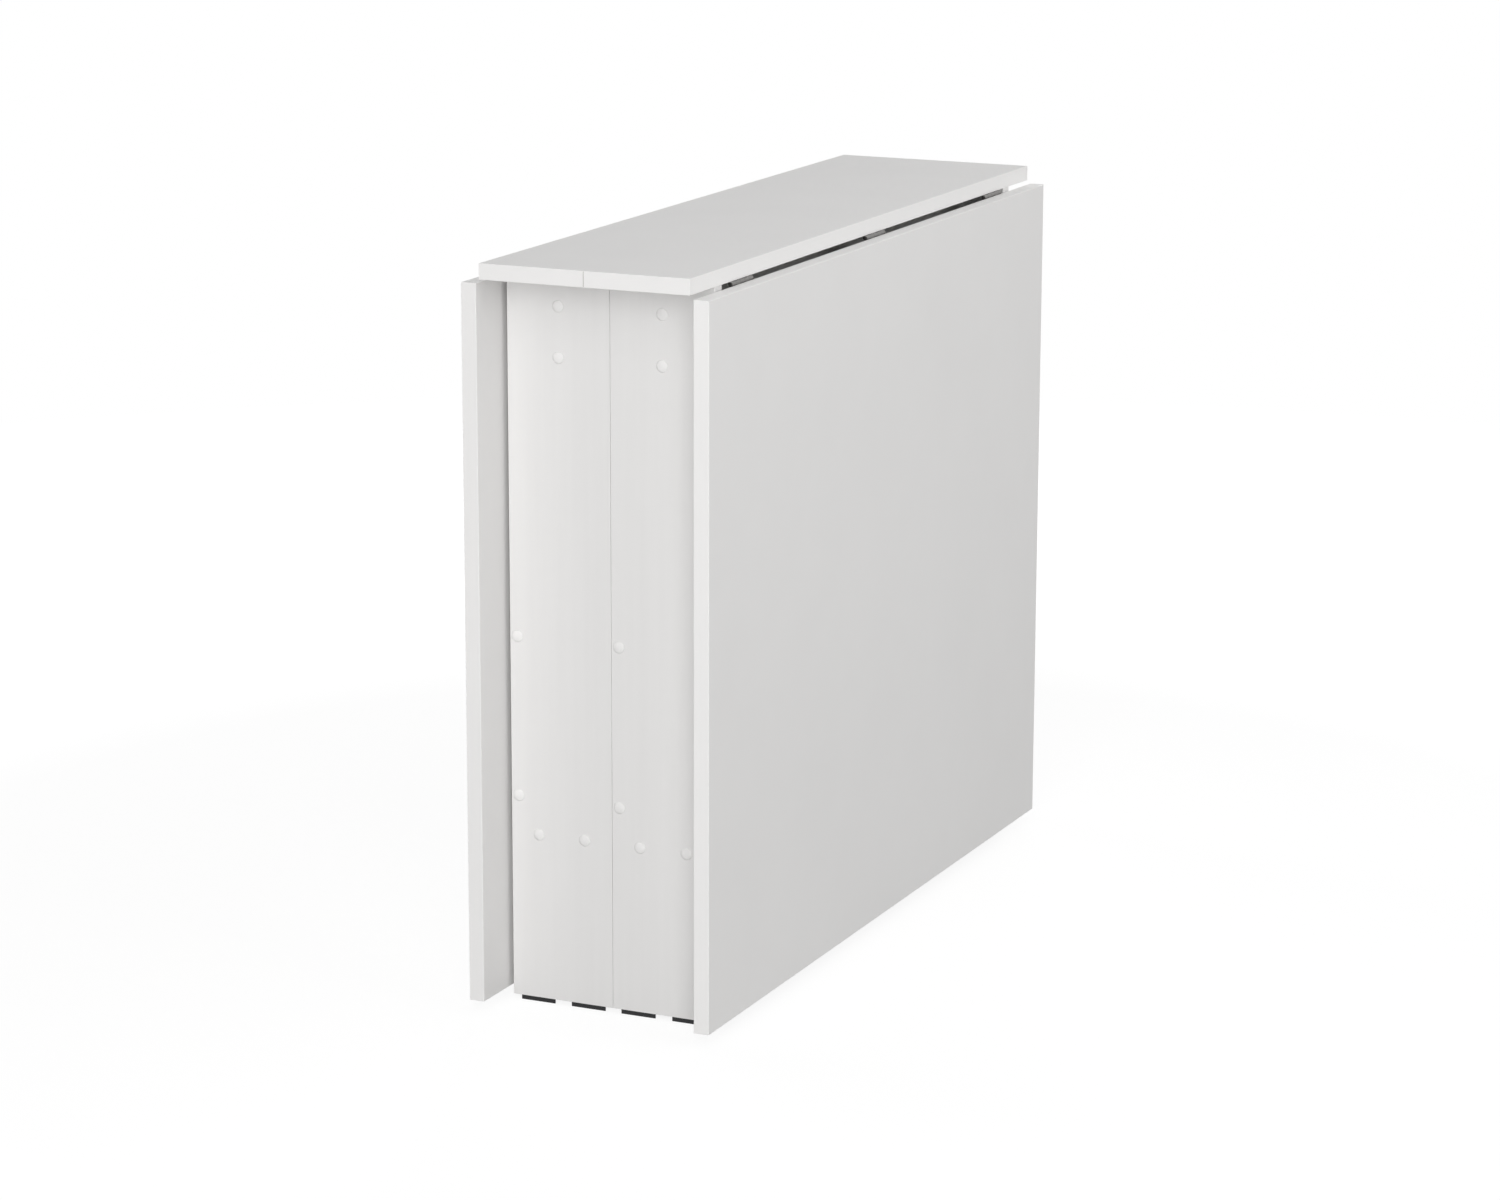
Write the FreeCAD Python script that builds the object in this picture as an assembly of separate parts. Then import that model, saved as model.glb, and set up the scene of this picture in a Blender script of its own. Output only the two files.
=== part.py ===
# Folding console table of white laminated board: a narrow top on two identical leg frames,
# with a long drop leaf hinged along each side of the top.
# Millimetres. +Z is up, X runs across the table, Y along it. The origin is on the floor, under the middle.
import FreeCAD, Part
import os
from FreeCAD import Vector

# Overall sizes
TABLE_HEIGHT = 750.0      # floor to the upper face of the top
TOP_WIDTH = 222.0
TOP_LENGTH = 880.0
BOARD = 16.0              # thickness of every laminated board
LEAF_FLOOR_GAP = 12.0     # clear height under a hanging leaf
LEAF_JOINT = 2.4          # slit between the top and a raised leaf

# Edge banding of the top and the leaves
BAND = 0.8
BAND_EASE = 0.5           # radius on the band's outer edges
BAND_BUTT = 0.8           # slit where the top's band meets itself, in the middle of the near end

# Leg frames
SEAM = 0.3                # slit between the two frames
LEG_EASE = 0.3            # radius on the leg boards' edges
FRAME_SETBACK = 0.5       # frame's outer edge inside the top's edge
END_RECESS = 56.0         # leg board's outer face inside the end of the top
RAIL_HEIGHT = 110.0       # upper rail, on edge
STRETCHER_HEIGHT = 165.5  # underside of the flat lower stretcher
PANEL_HEIGHT = 222.0      # back panel that stands on the stretcher
SCREW_MARGIN = 30.0       # joint screw to the edge of the board it holds

# Joint screws with a hexagon socket, and their caps
SCREW_LENGTH = 50.0
SCREW_SINK = 0.6          # head below the board's face
HEAD_RADIUS = 5.0
HEAD_DEPTH = 4.0
SHANK_RADIUS = 3.5        # over the thread
SOCKET_FLATS = 4.0
SOCKET_DEPTH = 2.5
CAP_RADIUS = 6.0
CAP_RIM = 0.3             # cap's straight rim
CAP_SHOULDER = 2.2        # sloped ring inside the rim
CAP_CROWN = 0.9           # height of the sloped ring
PEG_FIT = 0.1             # peg of the cap to the walls of the socket

# Glides under the leg boards, and their nails
GLIDE_SETBACK = 8.0       # end of a glide to the leg board's edge
GLIDE_GAP = 17.0          # between the two glides of a leg board
GLIDE_WIDTH = 15.0
GLIDE_HEIGHT = 4.5
GLIDE_TAPER = 8.0         # each end runs in by this much from the outer face to the inner one
GLIDE_CORNER = 0.8        # radius on the upright edges
NAIL_LENGTH = 18.0
NAIL_RADIUS = 1.0
NAIL_HEAD_RADIUS = 2.6
NAIL_HEAD = 1.2
NAIL_SINK = 1.0           # nail head above the floor face of the glide

# Butt hinges, three to a leaf
HINGE_LENGTH = 48.0
HINGE_END = 112.0         # centre of an end hinge to the end of the top
HINGE_WING = 20.0         # wing's width from the pin's axis
HINGE_PLATE = 1.0
KNUCKLES = 5
KNUCKLE_PLAY = 0.3        # along the pin, between two knuckles
PIN_RADIUS = 1.25
PIN_HEAD_RADIUS = 1.9
PIN_HEAD = 0.8
WING_CORNER = 3.0
WOOD_SCREW_LENGTH = 12.0
WOOD_SCREW_RADIUS = 1.5
WOOD_SCREW_HEAD_RADIUS = 2.8
WOOD_SCREW_SPACING = 28.8
WOOD_SCREW_OFFSET = 12.0  # screw to the pin's axis

# Swing pivots between the frames and the top
PIVOT_RADIUS = 4.0
PIVOT_SINK = 38.0         # pin's depth in the rail
PIVOT_END = 45.0          # pin to the end of the rail
BUSH_WALL = 2.0
BUSH_LENGTH = 11.0
PIVOT_TIP = 1.0           # chamfer on the pin and gap above it

# Clearances
RUN_FIT = 0.05            # radial, pins in knuckles and bushes
BORE_FIT = 0.1            # radial, screws and nails in boards

# Places that follow from the sizes
HALF_LENGTH = TOP_LENGTH / 2
TOP_UNDERSIDE = TABLE_HEIGHT - BOARD
FRAME_WIDTH = (TOP_WIDTH - SEAM) / 2 - FRAME_SETBACK
GLIDE_LENGTH = (FRAME_WIDTH - GLIDE_GAP) / 2 - GLIDE_SETBACK
GLIDE_STEP = (GLIDE_LENGTH + GLIDE_GAP) / 2
LEG_FACE_Y = HALF_LENGTH - END_RECESS
RAIL_END_Y = LEG_FACE_Y - BOARD
STRETCHER_TOP = STRETCHER_HEIGHT + BOARD
KNUCKLE_RADIUS = PIN_RADIUS + RUN_FIT + HINGE_PLATE
AXIS_X = (TOP_WIDTH + LEAF_JOINT) / 2
AXIS_Z = TOP_UNDERSIDE - KNUCKLE_RADIUS
LEAF_INNER_X = AXIS_X + KNUCKLE_RADIUS
LEAF_TOP = AXIS_Z - LEAF_JOINT / 2
HINGE_STATIONS = (-HALF_LENGTH + HINGE_END, 0.0, HALF_LENGTH - HINGE_END)
UP = Vector(0, 0, 1)
ORIGIN = Vector(0, 0, 0)


def block(low, high):
    """Rectangular solid between two opposite corners."""
    size = [b - a for a, b in zip(low, high)]
    return Part.makeBox(size[0], size[1], size[2], Vector(*low))


def rod(radius, start, direction, length):
    """Plain round solid along a direction."""
    return Part.makeCylinder(radius, length, start, direction)


def turned(outline, start, direction):
    """Solid turned from (radius, distance) points about an axis that runs from start along direction."""
    points = [Vector(radius, 0, distance) for radius, distance in outline]
    face = Part.Face(Part.makePolygon(points + points[:1]))
    solid = face.revolve(ORIGIN, UP, 360)
    solid.Placement = FreeCAD.Placement(start, FreeCAD.Rotation(UP, direction))
    return solid


def hexagon_bar(flats, length, start, direction):
    """Six-sided bar, measured across its flats, along a direction."""
    radius = flats / 3 ** 0.5
    corners = []
    for step in range(7):
        turn = FreeCAD.Rotation(UP, 60 * step)
        corners.append(turn.multVec(Vector(radius, 0, 0)))
    bar = Part.Face(Part.makePolygon(corners)).extrude(UP * length)
    bar.Placement = FreeCAD.Placement(start, FreeCAD.Rotation(UP, direction))
    return bar


def drilled(solid, bores):
    """Solid with all of its bores cut."""
    return solid.cut(bores) if bores else solid


def save(name, solids):
    """Write one node, as a single solid or as a group of separate solids."""
    shape = solids[0] if len(solids) == 1 else Part.makeCompound(solids)
    shape.exportStep(os.path.join("parts", name + ".step"))


def banded_board(low, high, thin):
    """Board core and its edge band; thin is the index of the axis across the board."""
    inner_low = [a if axis == thin else a + BAND for axis, a in enumerate(low)]
    inner_high = [b if axis == thin else b - BAND for axis, b in enumerate(high)]
    core = block(inner_low, inner_high)
    band = eased(block(low, high), thin, BAND_EASE).cut(core)
    return core, band


def eased(board, thin, radius):
    """Board with a small radius on the edges round its two faces; thin is the axis across the board."""
    rims = []
    for edge in board.Edges:
        ends = [vertex.Point[thin] for vertex in edge.Vertexes]
        if abs(ends[0] - ends[1]) < radius:
            rims.append(edge)
    return board.makeFillet(radius, rims)


def joint_screw(face_point, inward):
    """Joint screw, the bore it needs and the cap over it, at a point on a leg board's outer face."""
    neck = SCREW_SINK + HEAD_DEPTH
    tip = SCREW_SINK + SCREW_LENGTH

    def outline(play, mouth):
        return [
            (0, mouth),
            (HEAD_RADIUS + play, mouth),
            (HEAD_RADIUS + play, neck),
            (SHANK_RADIUS + play, neck),
            (SHANK_RADIUS + play, tip + play),
            (0, tip + play),
        ]

    head_point = face_point + inward * SCREW_SINK
    socket = hexagon_bar(SOCKET_FLATS, SOCKET_DEPTH, head_point, inward)
    screw = turned(outline(0, SCREW_SINK), face_point, inward).cut(socket)
    bore = turned(outline(BORE_FIT, 0), face_point, inward)
    peg_length = SCREW_SINK + SOCKET_DEPTH - 2 * PEG_FIT
    peg = hexagon_bar(SOCKET_FLATS - 2 * PEG_FIT, peg_length, face_point, inward)
    cap_outline = [
        (0, 0),
        (CAP_RADIUS, 0),
        (CAP_RADIUS, -CAP_RIM),
        (CAP_RADIUS - CAP_SHOULDER, -CAP_RIM - CAP_CROWN),
        (0, -CAP_RIM - CAP_CROWN),
    ]
    cap = turned(cap_outline, face_point, inward).fuse(peg)
    return screw, bore, cap


def glide(centre_x, centre_y, outward):
    """Glide under a leg board, its nail and the nail's bore; outward is the sign of the board's outer face."""
    outer_half = GLIDE_LENGTH / 2
    inner_half = outer_half - GLIDE_TAPER
    outer_y = centre_y + outward * GLIDE_WIDTH / 2
    inner_y = centre_y - outward * GLIDE_WIDTH / 2
    corners = [
        Vector(centre_x - outer_half, outer_y, 0),
        Vector(centre_x + outer_half, outer_y, 0),
        Vector(centre_x + inner_half, inner_y, 0),
        Vector(centre_x - inner_half, inner_y, 0),
    ]
    pad = Part.Face(Part.makePolygon(corners + corners[:1])).extrude(UP * GLIDE_HEIGHT)
    uprights = [edge for edge in pad.Edges if abs(edge.tangentAt(edge.FirstParameter).z) > 0.9]
    pad = pad.makeFillet(GLIDE_CORNER, uprights)
    foot = Vector(centre_x, centre_y, NAIL_SINK)
    outline = [
        (0, 0),
        (NAIL_HEAD_RADIUS, 0),
        (NAIL_HEAD_RADIUS, NAIL_HEAD),
        (NAIL_RADIUS, NAIL_HEAD),
        (NAIL_RADIUS, NAIL_LENGTH),
        (0, NAIL_LENGTH),
    ]
    nail = turned(outline, foot, UP)
    pocket = rod(NAIL_HEAD_RADIUS + BORE_FIT, foot - UP * NAIL_SINK, UP, NAIL_SINK + NAIL_HEAD)
    bore = rod(NAIL_RADIUS + BORE_FIT, foot, UP, NAIL_LENGTH + BORE_FIT)
    return pad.cut([pocket, bore]), nail, bore


def build_frame(side, left_x, pivot_sign):
    """Leg frame whose left edge is at left_x; returns the bush's bore in the top above its pivot pin."""
    right_x = left_x + FRAME_WIDTH
    middle_x = (left_x + right_x) / 2
    screws = []
    caps = []
    pads = []
    nails = []
    rail_bores = []
    stretcher_bores = []
    panel_bores = []
    rail_low = TOP_UNDERSIDE - RAIL_HEIGHT
    panel_top = STRETCHER_TOP + PANEL_HEIGHT
    stretcher_middle = (STRETCHER_HEIGHT + STRETCHER_TOP) / 2
    joints = [
        (middle_x, TOP_UNDERSIDE - SCREW_MARGIN, rail_bores),
        (middle_x, rail_low + SCREW_MARGIN, rail_bores),
        (left_x + SCREW_MARGIN, stretcher_middle, stretcher_bores),
        (right_x - SCREW_MARGIN, stretcher_middle, stretcher_bores),
        (left_x + BOARD / 2, STRETCHER_TOP + SCREW_MARGIN, panel_bores),
        (left_x + BOARD / 2, panel_top - SCREW_MARGIN, panel_bores),
    ]

    for end, sign in (("near", -1), ("far", 1)):
        leg_bores = []
        for x, z, member_bores in joints:
            screw, bore, cap = joint_screw(Vector(x, sign * LEG_FACE_Y, z), Vector(0, -sign, 0))
            screws.append(screw)
            caps.append(cap)
            leg_bores.append(bore)
            member_bores.append(bore)
        leg_y = sorted((sign * LEG_FACE_Y, sign * RAIL_END_Y))
        for step in (-GLIDE_STEP, GLIDE_STEP):
            pad, nail, nail_bore = glide(middle_x + step, sum(leg_y) / 2, sign)
            pads.append(pad)
            nails.append(nail)
            leg_bores.append(nail_bore)
        leg = block((left_x, leg_y[0], GLIDE_HEIGHT), (right_x, leg_y[1], TOP_UNDERSIDE))
        leg = eased(leg, 1, LEG_EASE)
        save(side + "_" + end + "_leg_board", [drilled(leg, leg_bores)])

    pivot_y = pivot_sign * (RAIL_END_Y - PIVOT_END)
    pin_foot = Vector(middle_x, pivot_y, TOP_UNDERSIDE - PIVOT_SINK)
    pin_length = PIVOT_SINK + BUSH_LENGTH - PIVOT_TIP
    pin_outline = [
        (0, 0),
        (PIVOT_RADIUS - PIVOT_TIP, 0),
        (PIVOT_RADIUS, PIVOT_TIP),
        (PIVOT_RADIUS, pin_length - PIVOT_TIP),
        (PIVOT_RADIUS - PIVOT_TIP, pin_length),
        (0, pin_length),
    ]
    rail_bores.append(rod(PIVOT_RADIUS + RUN_FIT, pin_foot, UP, PIVOT_SINK))
    bush_foot = Vector(middle_x, pivot_y, TOP_UNDERSIDE)
    bush_radius = PIVOT_RADIUS + RUN_FIT + BUSH_WALL
    bush = rod(bush_radius, bush_foot, UP, BUSH_LENGTH)
    bush = bush.cut(rod(PIVOT_RADIUS + RUN_FIT, bush_foot, UP, BUSH_LENGTH))

    rail_low_corner = (middle_x - BOARD / 2, -RAIL_END_Y, rail_low)
    rail = block(rail_low_corner, (middle_x + BOARD / 2, RAIL_END_Y, TOP_UNDERSIDE))
    stretcher = block((left_x, -RAIL_END_Y, STRETCHER_HEIGHT), (right_x, RAIL_END_Y, STRETCHER_TOP))
    panel = block((left_x, -RAIL_END_Y, STRETCHER_TOP), (left_x + BOARD, RAIL_END_Y, panel_top))
    save(side + "_upper_rail", [drilled(rail, rail_bores)])
    save(side + "_lower_stretcher", [drilled(stretcher, stretcher_bores)])
    save(side + "_back_panel", [drilled(panel, panel_bores)])
    save(side + "_joint_screws", screws)
    save(side + "_screw_caps", caps)
    save(side + "_foot_glides", pads)
    save(side + "_glide_nails", nails)
    save(side + "_pivot_pin", [turned(pin_outline, pin_foot, UP)])
    save(side + "_pivot_bush", [bush])
    return rod(bush_radius + RUN_FIT, bush_foot, UP, BUSH_LENGTH)


def hinge_wing(own_knuckles):
    """Wing under the top, with its pin along Y at the origin and the board above it."""
    half = HINGE_LENGTH / 2
    under = KNUCKLE_RADIUS - HINGE_PLATE
    wing = block((-HINGE_WING, -half, under), (0, half, KNUCKLE_RADIUS))
    corners = []
    for edge in wing.Edges:
        upright = abs(edge.tangentAt(edge.FirstParameter).z) > 0.9
        if upright and edge.Vertexes[0].X < -HINGE_WING / 2:
            corners.append(edge)
    wing = wing.makeFillet(WING_CORNER, corners)
    pitch = HINGE_LENGTH / KNUCKLES
    reach = KNUCKLE_RADIUS + KNUCKLE_PLAY
    along = Vector(0, 1, 0)
    for number in range(KNUCKLES):
        start = -half + number * pitch
        if number % 2 == own_knuckles:
            first = start if number == 0 else start + KNUCKLE_PLAY / 2
            last = half if number == KNUCKLES - 1 else start + pitch - KNUCKLE_PLAY / 2
            wing = wing.fuse(rod(KNUCKLE_RADIUS, Vector(0, first, 0), along, last - first))
        else:
            low = (-reach, start - KNUCKLE_PLAY / 2, -reach)
            high = (reach, start + pitch + KNUCKLE_PLAY / 2, reach)
            wing = wing.cut(block(low, high))
    bore = rod(PIN_RADIUS + RUN_FIT, Vector(0, -half, 0), along, HINGE_LENGTH)
    sinks = [wood_screw(place, BORE_FIT) for place in wing_screw_places()]
    return wing.removeSplitter().cut([bore] + sinks)


def wing_screw_places():
    """Points on a wing's open face where its countersunk screws go in."""
    under = KNUCKLE_RADIUS - HINGE_PLATE
    steps = (-WOOD_SCREW_SPACING / 2, WOOD_SCREW_SPACING / 2)
    return [Vector(-WOOD_SCREW_OFFSET, step, under) for step in steps]


def wood_screw(place, play):
    """Countersunk wood screw through a wing into the board above, or its bore if play is given."""
    outline = [
        (0, 0),
        (WOOD_SCREW_HEAD_RADIUS + play, 0),
        (WOOD_SCREW_RADIUS + play, HINGE_PLATE),
        (WOOD_SCREW_RADIUS + play, WOOD_SCREW_LENGTH + play),
        (0, WOOD_SCREW_LENGTH + play),
    ]
    return turned(outline, place, UP)


def hinge_pin():
    """Pin with a head at each end, along Y at the origin."""
    half = HINGE_LENGTH / 2
    full = half + PIN_HEAD
    outline = [
        (0, -full),
        (PIN_HEAD_RADIUS, -full),
        (PIN_HEAD_RADIUS, -half),
        (PIN_RADIUS, -half),
        (PIN_RADIUS, half),
        (PIN_HEAD_RADIUS, half),
        (PIN_HEAD_RADIUS, full),
        (0, full),
    ]
    return turned(outline, ORIGIN, Vector(0, 1, 0))


def build_leaf(side):
    """Drop leaf with its hinges; returns the bores of its hinge screws in the top."""
    leaf_wing_turn = Vector(1, 0, -1)
    top_wing = hinge_wing(0)
    leaf_wing = hinge_wing(1).mirror(ORIGIN, leaf_wing_turn)
    places = wing_screw_places()
    screws = [wood_screw(place, 0) for place in places]
    bores = [wood_screw(place, BORE_FIT) for place in places]
    leaf_screws = [screw.mirror(ORIGIN, leaf_wing_turn) for screw in screws]
    leaf_bores = [bore.mirror(ORIGIN, leaf_wing_turn) for bore in bores]

    def at_each_hinge(shapes):
        copies = []
        for station in HINGE_STATIONS:
            for shape in shapes:
                copies.append(on_side(shape.translated(Vector(AXIS_X, station, AXIS_Z)), side))
        return copies

    low = (LEAF_INNER_X, -HALF_LENGTH, LEAF_FLOOR_GAP)
    high = (LEAF_INNER_X + BOARD, HALF_LENGTH, LEAF_TOP)
    core, band = banded_board(low, high, 0)
    core = on_side(core, side)
    save(side + "_leaf", [drilled(core, at_each_hinge(leaf_bores))])
    save(side + "_leaf_edge_band", [on_side(band, side)])
    save(side + "_hinge_top_wings", at_each_hinge([top_wing]))
    save(side + "_hinge_leaf_wings", at_each_hinge([leaf_wing]))
    save(side + "_hinge_pins", at_each_hinge([hinge_pin()]))
    save(side + "_hinge_top_screws", at_each_hinge(screws))
    save(side + "_hinge_leaf_screws", at_each_hinge(leaf_screws))
    return at_each_hinge(bores)


def on_side(shape, side):
    """Shape built on the right side of the table, mirrored for the left."""
    return shape.mirror(ORIGIN, Vector(1, 0, 0)) if side == "left" else shape


def build_top(bores):
    """Top board with its edge band."""
    low = (-TOP_WIDTH / 2, -HALF_LENGTH, TOP_UNDERSIDE)
    high = (TOP_WIDTH / 2, HALF_LENGTH, TABLE_HEIGHT)
    core, band = banded_board(low, high, 2)
    slit_low = (-BAND_BUTT / 2, -HALF_LENGTH, TOP_UNDERSIDE)
    slit_high = (BAND_BUTT / 2, -HALF_LENGTH + BAND, TABLE_HEIGHT)
    save("table_top", [drilled(core, bores)])
    save("top_edge_band", [band.cut(block(slit_low, slit_high))])


def main():
    """Build every piece and write it out."""
    os.makedirs("parts", exist_ok=True)
    top_bores = []
    top_bores.append(build_frame("left", -SEAM / 2 - FRAME_WIDTH, 1))
    top_bores.append(build_frame("right", SEAM / 2, -1))
    for side in ("left", "right"):
        top_bores.extend(build_leaf(side))
    build_top(top_bores)


main()
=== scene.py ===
"""Looks of a folding console table of white laminated board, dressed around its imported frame."""

import logging
import math
from dataclasses import dataclass
from enum import Enum
from typing import ClassVar

import bmesh
import bpy
from mathutils import Matrix, Vector


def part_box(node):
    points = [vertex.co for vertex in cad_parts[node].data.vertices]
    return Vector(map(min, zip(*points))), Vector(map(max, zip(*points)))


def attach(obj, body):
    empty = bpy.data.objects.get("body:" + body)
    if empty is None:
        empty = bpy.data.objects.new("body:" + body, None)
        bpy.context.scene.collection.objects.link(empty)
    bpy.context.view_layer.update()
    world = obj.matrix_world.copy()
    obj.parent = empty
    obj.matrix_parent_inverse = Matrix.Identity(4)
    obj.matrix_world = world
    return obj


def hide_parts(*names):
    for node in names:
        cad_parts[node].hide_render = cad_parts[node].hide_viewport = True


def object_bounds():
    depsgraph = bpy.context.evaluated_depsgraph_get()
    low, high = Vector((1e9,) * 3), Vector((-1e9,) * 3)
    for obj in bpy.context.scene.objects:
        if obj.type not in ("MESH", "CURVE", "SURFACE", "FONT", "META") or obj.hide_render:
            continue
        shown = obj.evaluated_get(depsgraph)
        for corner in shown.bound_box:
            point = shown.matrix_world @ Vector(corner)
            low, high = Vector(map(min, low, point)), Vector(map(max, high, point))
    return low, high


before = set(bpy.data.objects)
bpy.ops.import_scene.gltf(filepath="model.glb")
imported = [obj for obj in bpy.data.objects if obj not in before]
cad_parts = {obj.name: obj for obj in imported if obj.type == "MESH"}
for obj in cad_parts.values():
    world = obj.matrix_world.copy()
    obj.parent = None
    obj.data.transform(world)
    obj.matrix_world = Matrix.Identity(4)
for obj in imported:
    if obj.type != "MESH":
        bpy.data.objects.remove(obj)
CAD_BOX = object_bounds()

log = logging.getLogger("console_table")
MM = 0.001
WELD = 0.001 * MM
SIDES = {"left": -1, "right": 1}
BASE_BODY = "base"


def linear(colour: str) -> tuple[float, float, float, float]:
    """Turn an sRGB hex colour into linear values for a shader.

    Args:
        colour: six hex digits, such as "E6E6E8".

    Returns:
        Red, green, blue and an alpha of one.
    """
    shares = [int(colour[i:i + 2], 16) / 255 for i in (0, 2, 4)]
    parts = [s / 12.92 if s <= 0.04045 else ((s + 0.055) / 1.055) ** 2.4 for s in shares]
    return (*parts, 1.0)


def add_node(tree: bpy.types.NodeTree, kind: str, links: dict | None = None, **settings) -> bpy.types.Node:
    """Add a shader node with its settings and the links into its sockets.

    Args:
        tree: node tree that takes the node.
        kind: Blender's name of the node type.
        links: input socket, by name or number, to the output socket that feeds it or to its fixed value.
        settings: properties of the node itself.

    Returns:
        The new node.
    """
    node = tree.nodes.new(kind)
    for name, value in settings.items():
        setattr(node, name, value)
    for socket, source in (links or {}).items():
        if isinstance(source, bpy.types.NodeSocket):
            tree.links.new(source, node.inputs[socket])
        else:
            node.inputs[socket].default_value = source
    return node


class Figure(Enum):
    """How the finest figure of a surface lies; the value is its stretch along X, Y and Z."""

    PEARL = (1.0, 1.0, 1.0)
    UPRIGHT_GRAIN = (1.0, 1.0, 0.03)
    ALONG_LENGTH = (1.0, 0.05, 1.0)


@dataclass(frozen=True)
class Finish:
    """One real finish: its colours, its gloss and the relief that its making leaves."""

    name: str
    colour: str
    mottle_colour: str
    roughness: float
    roughness_swing: float
    figure: Figure
    figure_mm: float
    relief_mm: float
    mottle_mm: float
    metallic: float = 0.0

    fine_detail: ClassVar[float] = 3.0
    fine_roughness: ClassVar[float] = 0.55
    cloud_detail: ClassVar[float] = 2.0
    bump_strength: ClassVar[float] = 0.5

    def material(self) -> bpy.types.Material:
        """Make the finish as a procedural material on Object coordinates.

        Returns:
            The new material.
        """
        made = bpy.data.materials.new(self.name)
        made.use_nodes = True
        tree = made.node_tree
        shader = tree.nodes["Principled BSDF"]
        shader.inputs["Metallic"].default_value = self.metallic
        place = add_node(tree, "ShaderNodeTexCoord").outputs["Object"]
        stretched = add_node(tree, "ShaderNodeMapping", {"Vector": place, "Scale": self.figure.value})
        fine = add_node(tree, "ShaderNodeTexNoise", {
            "Vector": stretched.outputs["Vector"],
            "Scale": 1 / (self.figure_mm * MM),
            "Detail": self.fine_detail,
            "Roughness": self.fine_roughness,
        })
        cloud = add_node(tree, "ShaderNodeTexNoise", {
            "Vector": stretched.outputs["Vector"],
            "Scale": 1 / (self.mottle_mm * MM),
            "Detail": self.cloud_detail,
        })
        mottle = add_node(tree, "ShaderNodeMix", {
            "Factor": cloud.outputs["Fac"],
            6: linear(self.colour),
            7: linear(self.mottle_colour),
        }, data_type="RGBA")
        gloss = add_node(tree, "ShaderNodeMapRange", {
            "Value": fine.outputs["Fac"],
            "To Min": self.roughness - self.roughness_swing,
            "To Max": self.roughness + self.roughness_swing,
        })
        bump = add_node(tree, "ShaderNodeBump", {
            "Height": fine.outputs["Fac"],
            "Strength": self.bump_strength,
            "Distance": self.relief_mm * MM,
        })
        tree.links.new(mottle.outputs[2], shader.inputs["Base Color"])
        tree.links.new(gloss.outputs["Result"], shader.inputs["Roughness"])
        tree.links.new(bump.outputs["Normal"], shader.inputs["Normal"])
        return made


# Melamine paper pressed on chipboard: an even white with a soft satin sheen and a fine pearl relief,
# which is drawn coarser than it is, so that it shows
WHITE_MELAMINE = Finish(
    "white_melamine_board", "EBEAE9", "E7E6E5", roughness=0.42, roughness_swing=0.05,
    figure=Figure.PEARL, figure_mm=1.4, relief_mm=0.05, mottle_mm=90.0)
# The same paper on the leg boards, pressed with a faint upright grain that shows as soft streaks
GRAINED_MELAMINE = Finish(
    "white_melamine_upright_grain", "E9E8E7", "E4E3E2", roughness=0.44, roughness_swing=0.06,
    figure=Figure.UPRIGHT_GRAIN, figure_mm=2.0, relief_mm=0.06, mottle_mm=9.0)
# Extruded edge band: a touch smoother than the board, drawn along its length. Its colour is drawn whiter
# than the board's so that the band's faces come out brighter, as if better lit: painted light
EDGE_BAND = Finish(
    "white_abs_edge_band", "F1F0EF", "EEEDEC", roughness=0.36, roughness_swing=0.04,
    figure=Figure.ALONG_LENGTH, figure_mm=0.9, relief_mm=0.03, mottle_mm=60.0)
# Moulded polyethylene caps: a softer white, slightly waxy
CAP_PLASTIC = Finish(
    "white_moulded_cap", "EEEDEC", "EAE9E8", roughness=0.34, roughness_swing=0.05,
    figure=Figure.PEARL, figure_mm=0.8, relief_mm=0.02, mottle_mm=6.0)
# Black polypropylene glides: spark-eroded mould texture, dull
GLIDE_PLASTIC = Finish(
    "black_moulded_glide", "0E0E0F", "17171A", roughness=0.55, roughness_swing=0.1,
    figure=Figure.PEARL, figure_mm=0.6, relief_mm=0.05, mottle_mm=8.0)
# Nickel plate over rolled steel strip: rolling lines run along the hinge. Its colour is drawn far darker
# than bright nickel, so that the hinges read dark in the shaded slit under the top: painted shade
NICKEL = Finish(
    "nickel_plated_strip", "8B8A88", "757472", roughness=0.38, roughness_swing=0.1,
    figure=Figure.ALONG_LENGTH, figure_mm=0.5, relief_mm=0.02, mottle_mm=3.0, metallic=1.0)
# Zinc plate on turned screws: pale grey with a faint bloom
ZINC = Finish(
    "zinc_plated_screw", "B4B6B8", "9FA2A6", roughness=0.36, roughness_swing=0.1,
    figure=Figure.PEARL, figure_mm=0.5, relief_mm=0.02, mottle_mm=2.0, metallic=1.0)
# Hot-melt glue that is left in the joint of the band: dull, a little darker than the board
GLUE = Finish(
    "hot_melt_glue_line", "C2BFBA", "B5B2AD", roughness=0.6, roughness_swing=0.1,
    figure=Figure.PEARL, figure_mm=0.8, relief_mm=0.05, mottle_mm=3.0)
# Natural nylon: creamy and slightly glossy
NYLON = Finish(
    "natural_nylon_bush", "D9D5C8", "CFCBBD", roughness=0.4, roughness_swing=0.05,
    figure=Figure.PEARL, figure_mm=0.7, relief_mm=0.02, mottle_mm=5.0)


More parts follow.
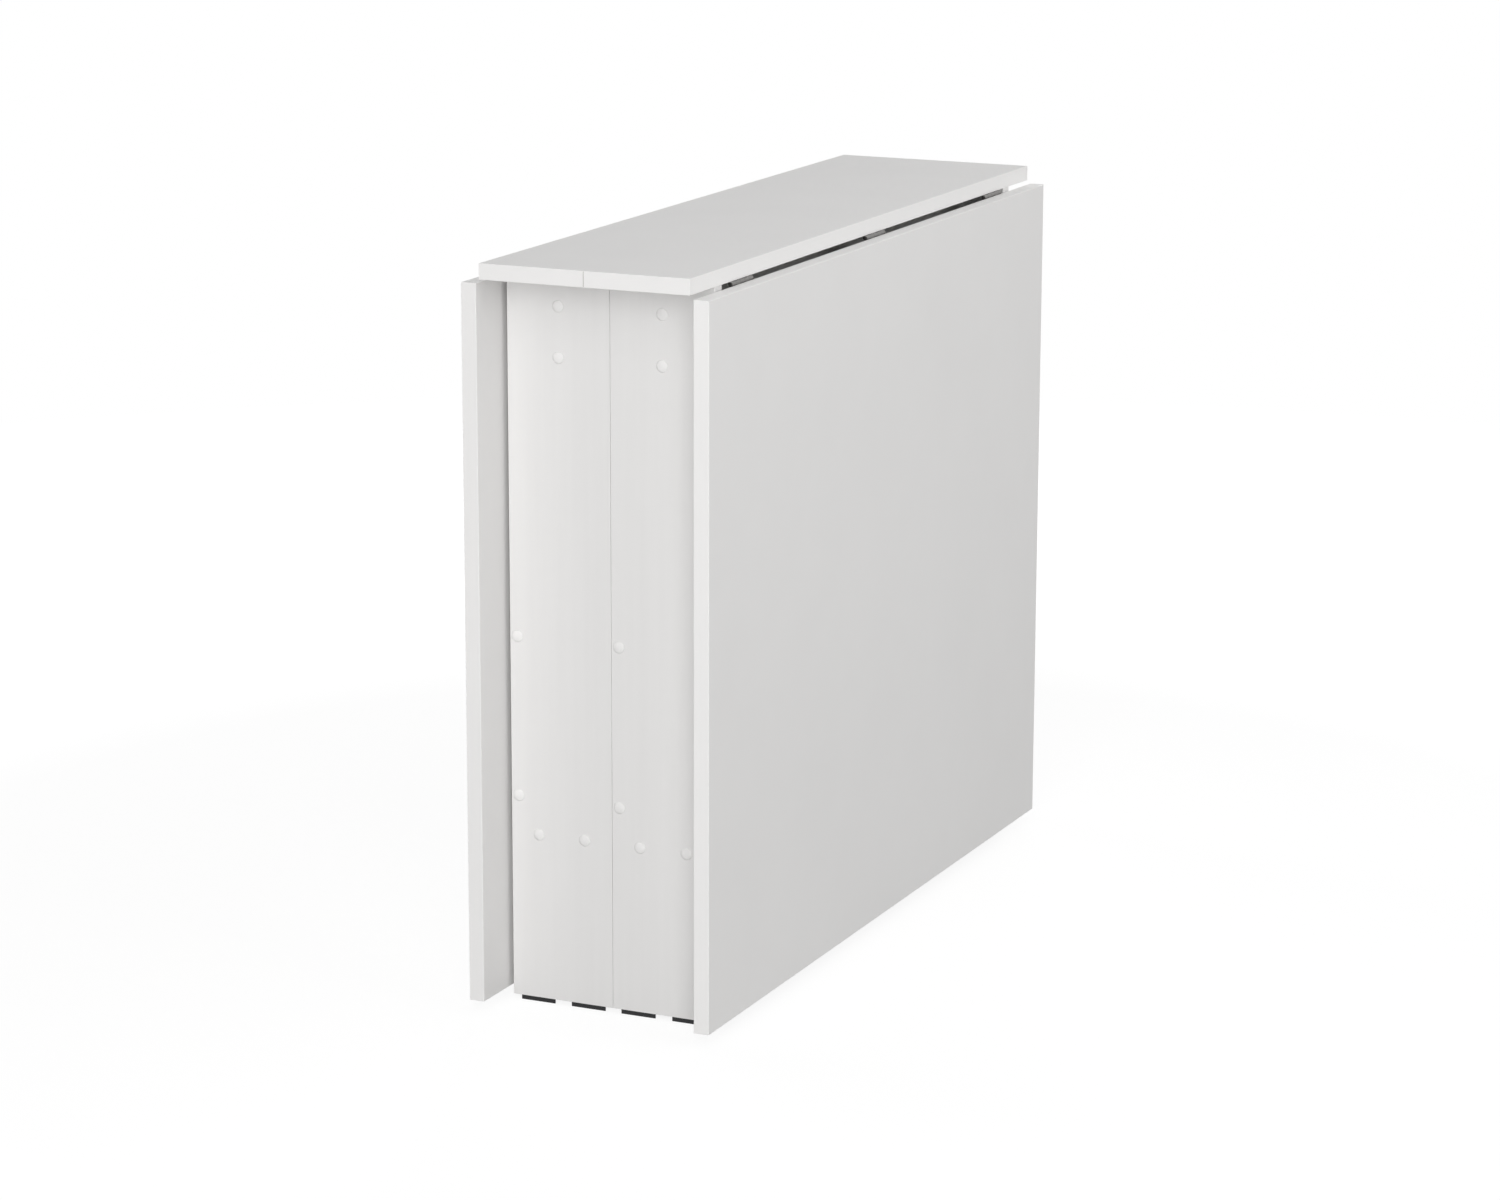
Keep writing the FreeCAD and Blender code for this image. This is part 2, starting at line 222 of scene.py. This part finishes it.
@dataclass
class SubAssembly:
    """Group of frame nodes with one prefix, their finishes and the finer pieces made for them."""

    prefix: str
    finishes: ClassVar[dict[str, Finish]] = {}

    def build(self, materials: dict[Finish, bpy.types.Material]) -> None:
        """Make the finer pieces of the group; a plain group has none."""

    def dress(self, materials: dict[Finish, bpy.types.Material]) -> None:
        """Give each node of the group its finish.

        Args:
            materials: finish to its finished material.
        """
        for node, finish in self.finishes.items():
            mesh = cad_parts[self.prefix + node].data
            mesh.materials.clear()
            mesh.materials.append(materials[finish])
            log.info("%s in %s", self.prefix + node, finish.name)

    def add_piece(
        self, work: bmesh.types.BMesh, name: str, body: str, slot: str, node: str = "",
    ) -> bpy.types.Object:
        """Turn a finished bmesh into a piece of its own or one that stands for a frame node.

        Args:
            work: closed mesh in its final place, freed here.
            name: piece's name.
            body: body that carries the piece.
            slot: record's material slot; not used.
            node: frame node that the piece stands for, or nothing.

        Returns:
            The new object.
        """
        mesh = bpy.data.meshes.new(name)
        work.to_mesh(mesh)
        work.free()
        piece = bpy.data.objects.new(name, mesh)
        bpy.context.scene.collection.objects.link(piece)
        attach(piece, body)
        if node:
            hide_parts(node)
        log.info("%s stands for %s", name, node or "itself")
        return piece


@dataclass
class TopBoard(SubAssembly):
    """Narrow top and the band round its edges."""

    slit_mm: float = 0.8
    bead_mm: float = 0.5
    bead_inset_mm: float = 0.6
    bead_steps: int = 4
    finishes: ClassVar[dict[str, Finish]] = {"table_top": WHITE_MELAMINE, "top_edge_band": EDGE_BAND}

    def build(self, materials: dict[Finish, bpy.types.Material]) -> None:
        """Lay the bead of glue that shows where the band meets itself, in the middle of the near end.

        Args:
            materials: finish to its finished material.
        """
        low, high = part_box(self.prefix + "table_top")
        inset = self.bead_inset_mm * MM
        size = Vector((self.slit_mm * MM, self.bead_mm * MM, high.z - low.z - 2 * inset))
        middle = Vector((0, low.y - size.y / 2, (low.z + high.z) / 2))
        work = bmesh.new()
        bmesh.ops.create_cube(work, size=1.0)
        bmesh.ops.scale(work, vec=size, verts=work.verts)
        front = [edge for edge in work.edges if all(vert.co.y < 0 for vert in edge.verts)]
        bmesh.ops.bevel(
            work, geom=front, offset=size.y / 2, affect="EDGES",
            segments=self.bead_steps, profile=0.5, material=-1)
        bmesh.ops.translate(work, vec=middle, verts=work.verts)
        bead = self.add_piece(work, "band_glue_line", BASE_BODY, "edge_band")
        bead.data.materials.append(materials[GLUE])


@dataclass
class LegFrame(SubAssembly):
    """Leg frame of one side, with its screws, caps, glides and pivot."""

    cap_radius_mm: float = 6.0
    cap_rim_mm: float = 0.2
    cap_height_mm: float = 1.2
    cap_rings: int = 6
    cap_steps: int = 32
    screw_margin_mm: float = 30.0
    finishes: ClassVar[dict[str, Finish]] = {
        "near_leg_board": GRAINED_MELAMINE,
        "far_leg_board": GRAINED_MELAMINE,
        "upper_rail": WHITE_MELAMINE,
        "lower_stretcher": WHITE_MELAMINE,
        "back_panel": WHITE_MELAMINE,
        "joint_screws": ZINC,
        "screw_caps": CAP_PLASTIC,
        "foot_glides": GLIDE_PLASTIC,
        "glide_nails": ZINC,
        "pivot_pin": ZINC,
        "pivot_bush": NYLON,
    }

    def build(self, materials: dict[Finish, bpy.types.Material]) -> None:
        """Make the softly domed caps over the joint screws.

        Args:
            materials: finish to its finished material.
        """
        work = bmesh.new()
        for end, outward in (("near", -1), ("far", 1)):
            low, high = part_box(f"{self.prefix}{end}_leg_board")
            face_y = low.y if outward < 0 else high.y
            for x, z in self.screw_places():
                self.spin_cap(work, Vector((x, face_y, z)), outward)
        bmesh.ops.remove_doubles(work, verts=work.verts, dist=WELD)
        bmesh.ops.recalc_face_normals(work, faces=work.faces)
        for face in work.faces:
            face.smooth = True
        node = self.prefix + "screw_caps"
        caps = self.add_piece(work, self.prefix + "domed_caps", BASE_BODY, "white_plastic", node)
        caps.data.materials.append(materials[CAP_PLASTIC])

    def screw_places(self) -> list[tuple[float, float]]:
        """Find the joint screws of one leg board from the boards that they hold.

        Returns:
            X and Z of each screw, in metres.
        """
        margin = self.screw_margin_mm * MM
        rail_low, rail_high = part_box(self.prefix + "upper_rail")
        shelf_low, shelf_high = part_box(self.prefix + "lower_stretcher")
        panel_low, panel_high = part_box(self.prefix + "back_panel")
        rail_x = (rail_low.x + rail_high.x) / 2
        shelf_z = (shelf_low.z + shelf_high.z) / 2
        panel_x = (panel_low.x + panel_high.x) / 2
        return [
            (rail_x, rail_high.z - margin),
            (rail_x, rail_low.z + margin),
            (shelf_low.x + margin, shelf_z),
            (shelf_high.x - margin, shelf_z),
            (panel_x, panel_low.z + margin),
            (panel_x, panel_high.z - margin),
        ]

    def spin_cap(self, work: bmesh.types.BMesh, place: Vector, outward: int) -> None:
        """Spin one cap: a flat foot on the board, a low rim and a shallow dome.

        Args:
            work: mesh that takes the cap.
            place: screw's point on the board's face, in metres.
            outward: sign of the face's direction along Y.
        """
        radius, rim, height = self.cap_radius_mm, self.cap_rim_mm, self.cap_height_mm
        outline = [(0.0, 0.0), (radius, 0.0)]
        for ring in range(self.cap_rings + 1):
            share = 1 - ring / self.cap_rings
            outline.append((radius * share, rim + (height - rim) * (1 - share ** 2)))
        points = [work.verts.new(place + Vector((r, outward * rise, 0)) * MM) for r, rise in outline]
        edges = [work.edges.new(pair) for pair in zip(points, points[1:])]
        bmesh.ops.spin(
            work, geom=points + edges, cent=place, axis=(0, 1, 0), angle=math.tau,
            steps=self.cap_steps, use_merge=True)


@dataclass
class DropLeaf(SubAssembly):
    """Drop leaf of one side with its band, hinges and hinge screws."""

    outward: int = 1
    pin_half_mm: float = 24.8
    head_radius_mm: float = 2.8
    head_depth_mm: float = 1.0
    shank_radius_mm: float = 1.5
    screw_length_mm: float = 12.0
    screw_offset_mm: float = 12.0
    screw_spacing_mm: float = 28.8
    wing_face_mm: float = 1.3
    recess_arm_mm: float = 1.55
    recess_half_width_mm: float = 0.35
    recess_depth_mm: float = 0.7
    recess_turn_deg: float = 37.0
    head_steps: int = 24
    finishes: ClassVar[dict[str, Finish]] = {
        "leaf": WHITE_MELAMINE,
        "leaf_edge_band": EDGE_BAND,
        "hinge_top_wings": NICKEL,
        "hinge_leaf_wings": NICKEL,
        "hinge_pins": NICKEL,
        "hinge_top_screws": ZINC,
        "hinge_leaf_screws": ZINC,
    }

    def build(self, materials: dict[Finish, bpy.types.Material]) -> None:
        """Make the hinge screws with their cross recesses.

        Args:
            materials: finish to its finished material.
        """
        screw = self.cross_screw()
        inwards = Matrix.Rotation(self.outward * math.pi / 2, 4, "Y")
        face, offset = self.wing_face_mm, self.screw_offset_mm
        wings = (
            ("top", BASE_BODY, Matrix(), Vector((-self.outward * offset, 0, face))),
            ("leaf", self.prefix + "leaf_body", inwards, Vector((self.outward * face, 0, -offset))),
        )
        for wing, body, turn, step in wings:
            work = bmesh.new()
            for number, place in enumerate(self.screw_line()):
                spot = Matrix.Translation(place + step * MM)
                slant = Matrix.Rotation(math.radians(self.recess_turn_deg * number), 4, "Z")
                known = len(work.verts)
                work.from_mesh(screw)
                work.verts.ensure_lookup_table()
                bmesh.ops.transform(work, matrix=spot @ turn @ slant, verts=work.verts[known:])
            node = f"{self.prefix}hinge_{wing}_screws"
            piece = self.add_piece(work, f"{self.prefix}{wing}_cross_screws", body, "zinc_steel", node)
            piece.data.materials.append(materials[ZINC])
        bpy.data.meshes.remove(screw)

    def screw_line(self) -> list[Vector]:
        """Find the points on the hinge axis beside each pair of screws.

        Returns:
            Six points, two to a hinge, in metres.
        """
        low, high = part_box(self.prefix + "hinge_pins")
        axis = (low + high) / 2
        half = self.pin_half_mm * MM
        spread = self.screw_spacing_mm * MM / 2
        hinges = (low.y + half, axis.y, high.y - half)
        return [Vector((axis.x, y + side * spread, axis.z)) for y in hinges for side in (-1, 1)]

    def cross_screw(self) -> bpy.types.Mesh:
        """Model one countersunk screw with its head at the origin, facing down, and its shank along +Z.

        Returns:
            The screw's mesh.
        """
        arm = self.recess_arm_mm * MM
        width = self.recess_half_width_mm * MM
        work = bmesh.new()
        bmesh.ops.create_grid(work, x_segments=3, y_segments=3, size=arm)
        for vert in work.verts:
            for axis in (0, 1):
                if abs(vert.co[axis]) < arm / 2:
                    vert.co[axis] = math.copysign(width, vert.co[axis])
        cross = [f for f in work.faces if min(abs(c) for c in f.calc_center_median().xy) < width]
        border = [edge for edge in work.edges if edge.is_boundary]
        head = bmesh.ops.create_circle(
            work, segments=self.head_steps, radius=self.head_radius_mm * MM)
        rim = head["verts"]
        rim_edges = list({edge for vert in rim for edge in vert.link_edges})
        bmesh.ops.bridge_loops(work, edges=border + rim_edges)
        sunk = bmesh.ops.extrude_face_region(work, geom=cross)["geom"]
        floor = [item for item in sunk if isinstance(item, bmesh.types.BMVert)]
        bmesh.ops.translate(work, vec=(0, 0, self.recess_depth_mm * MM), verts=floor)
        rings = (
            (self.head_depth_mm, self.shank_radius_mm / self.head_radius_mm),
            (self.screw_length_mm - self.head_depth_mm, 1.0),
        )
        for rise, shrink in rings:
            grown = bmesh.ops.extrude_edge_only(work, edges=rim_edges)["geom"]
            ring = [item for item in grown if isinstance(item, bmesh.types.BMVert)]
            rim_edges = [item for item in grown if isinstance(item, bmesh.types.BMEdge) and item.is_boundary]
            bmesh.ops.translate(work, vec=(0, 0, rise * MM), verts=ring)
            bmesh.ops.scale(work, vec=(shrink, shrink, 1), verts=ring)
        bmesh.ops.edgeloop_fill(work, edges=rim_edges)
        bmesh.ops.recalc_face_normals(work, faces=work.faces)
        mesh = bpy.data.meshes.new("cross_screw")
        work.to_mesh(mesh)
        work.free()
        return mesh


@dataclass(frozen=True)
class Softbox:
    """Soft square lamp: its middle and its side in metres, and its power in watts."""

    name: str
    place: tuple[float, float, float]
    side: float
    watts: float


@dataclass
class Studio:
    """Pale floor, soft lamps and the camera at the photograph's place."""

    camera_place: tuple[float, float, float] = (1.828, -4.093, 1.392)
    camera_azimuth: float = -24.37
    camera_dip: float = 13.23
    camera_roll: float = -0.15
    focal_px: float = 4379.5
    image_width_px: float = 1500.0
    sensor_mm: float = 36.0
    floor_half: float = 30.0
    floor_white: float = 0.5
    floor_glow: float = 1.76
    shadow_near: float = 1.0
    shadow_far: float = 3.0
    floor_colour: str = "959595"
    world_light: float = 0.22
    softboxes: tuple[Softbox, ...] = (
        Softbox("front_softbox", (2.3, -5.5, 2.0), 3.4, 172.0),
        Softbox("high_softbox", (0.7, -2.6, 2.8), 1.5, 15.0),
        Softbox("low_softbox", (0.2, -3.0, 0.45), 0.8, 11.0),
        Softbox("right_softbox", (3.6, -0.6, 1.9), 2.4, 42.0),
        Softbox("right_high_softbox", (1.5, 0.6, 2.1), 1.2, 8.0),
        Softbox("left_softbox", (-3.8, 0.6, 0.8), 1.5, 60.0),
        Softbox("back_softbox", (-1.6, 5.0, 0.85), 1.6, 125.0),
    )

    def build(self) -> None:
        """Set up the view, the floor, the lamps and the camera."""
        bpy.context.scene.view_settings.view_transform = "Standard"
        self.sky()
        self.floor()
        for softbox in self.softboxes:
            self.lamp(softbox)
        self.camera()

    def sky(self) -> None:
        """Even grey light on the object, and white where the camera or a gloss looks past it."""
        world = bpy.context.scene.world or bpy.data.worlds.new("studio")
        bpy.context.scene.world = world
        world.use_nodes = True
        tree = world.node_tree
        tree.nodes.clear()
        glow = add_node(tree, "ShaderNodeMapRange", {
            "Value": self.seen_ray(tree),
            "To Min": self.world_light,
            "To Max": 1.0,
        })
        back = add_node(tree, "ShaderNodeBackground", {
            "Color": linear("FFFFFF"),
            "Strength": glow.outputs["Result"],
        })
        add_node(tree, "ShaderNodeOutputWorld", {"Surface": back.outputs["Background"]})

    def seen_ray(self, tree: bpy.types.NodeTree) -> bpy.types.NodeSocket:
        """Make the test for camera, glossy and transmission rays.

        Args:
            tree: node tree that takes the test.

        Returns:
            Socket that is one on such a ray and zero on others.
        """
        path = add_node(tree, "ShaderNodeLightPath")
        gloss = add_node(tree, "ShaderNodeMath", {
            0: path.outputs["Is Camera Ray"],
            1: path.outputs["Is Glossy Ray"],
        }, operation="MAXIMUM")
        seen = add_node(tree, "ShaderNodeMath", {
            0: gloss.outputs["Value"],
            1: path.outputs["Is Transmission Ray"],
        }, operation="MAXIMUM")
        return seen.outputs["Value"]

    def floor(self) -> None:
        """Floor that is plain white far away and keeps a light contact shadow near the table."""
        work = bmesh.new()
        bmesh.ops.create_grid(work, x_segments=1, y_segments=1, size=self.floor_half)
        mesh = bpy.data.meshes.new("floor")
        work.to_mesh(mesh)
        work.free()
        floor = bpy.data.objects.new("floor", mesh)
        bpy.context.scene.collection.objects.link(floor)
        paper = bpy.data.materials.new("white_backdrop_paper")
        paper.use_nodes = True
        tree = paper.node_tree
        tree.nodes.clear()
        matt = add_node(tree, "ShaderNodeBsdfDiffuse", {"Color": linear(self.floor_colour)})
        place = add_node(tree, "ShaderNodeTexCoord").outputs["Object"]
        reach = add_node(tree, "ShaderNodeVectorMath", {0: place}, operation="LENGTH")
        glow = add_node(tree, "ShaderNodeMapRange", {
            "Value": reach.outputs["Value"],
            "From Min": self.shadow_near,
            "From Max": self.shadow_far,
            "To Min": self.floor_glow,
            "To Max": 1.0,
        })
        plain = add_node(tree, "ShaderNodeMapRange", {
            "Value": reach.outputs["Value"],
            "From Min": self.shadow_near,
            "From Max": self.shadow_far,
            "To Min": self.floor_white,
            "To Max": 1.0,
        })
        white = add_node(tree, "ShaderNodeEmission", {
            "Color": linear("FFFFFF"),
            "Strength": glow.outputs["Result"],
        })
        share = add_node(tree, "ShaderNodeMath", {
            0: self.seen_ray(tree),
            1: plain.outputs["Result"],
        }, operation="MULTIPLY")
        both = add_node(tree, "ShaderNodeMixShader", {
            0: share.outputs["Value"],
            1: matt.outputs["BSDF"],
            2: white.outputs["Emission"],
        })
        add_node(tree, "ShaderNodeOutputMaterial", {"Surface": both.outputs["Shader"]})
        mesh.materials.append(paper)

    def lamp(self, softbox: Softbox) -> None:
        """Add a lamp that faces the middle of the table and leaves no hot spot in a gloss.

        Args:
            softbox: lamp to add.
        """
        light = bpy.data.lights.new(softbox.name, "AREA")
        light.size = softbox.side
        light.energy = softbox.watts
        lamp = bpy.data.objects.new(softbox.name, light)
        low, high = CAD_BOX
        ahead = (low + high) / 2 - Vector(softbox.place)
        lamp.location = softbox.place
        lamp.rotation_euler = ahead.to_track_quat("-Z", "Y").to_euler()
        lamp.visible_glossy = False
        bpy.context.scene.collection.objects.link(lamp)

    def camera(self) -> None:
        """Place the camera as the photograph was taken."""
        azimuth = math.radians(self.camera_azimuth)
        dip = math.radians(self.camera_dip)
        roll = math.radians(self.camera_roll)
        ahead = Vector((
            math.sin(azimuth) * math.cos(dip),
            math.cos(azimuth) * math.cos(dip),
            -math.sin(dip),
        ))
        level = Vector((math.cos(azimuth), -math.sin(azimuth), 0))
        down = ahead.cross(level)
        right = math.cos(roll) * level + math.sin(roll) * down
        below = math.cos(roll) * down - math.sin(roll) * level
        lens = bpy.data.cameras.new("photo_camera")
        lens.sensor_width = self.sensor_mm
        lens.lens = self.focal_px / self.image_width_px * self.sensor_mm
        lens.clip_end = 4 * self.floor_half
        camera = bpy.data.objects.new("photo_camera", lens)
        turn = Matrix((right, -below, -ahead)).transposed().to_4x4()
        camera.matrix_world = Matrix.Translation(self.camera_place) @ turn
        bpy.context.scene.collection.objects.link(camera)
        bpy.context.scene.camera = camera


def main() -> None:
    """Build the studio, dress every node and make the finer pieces."""
    logging.basicConfig(level=logging.INFO)
    Studio().build()
    groups: list[SubAssembly] = [TopBoard("")]
    for side, outward in SIDES.items():
        groups.append(LegFrame(side + "_"))
        groups.append(DropLeaf(side + "_", outward))
    materials: dict[Finish, bpy.types.Material] = {GLUE: GLUE.material()}
    for group in groups:
        for finish in group.finishes.values():
            if finish not in materials:
                materials[finish] = finish.material()
        group.dress(materials)
        group.build(materials)


if __name__ == "__main__":
    main()
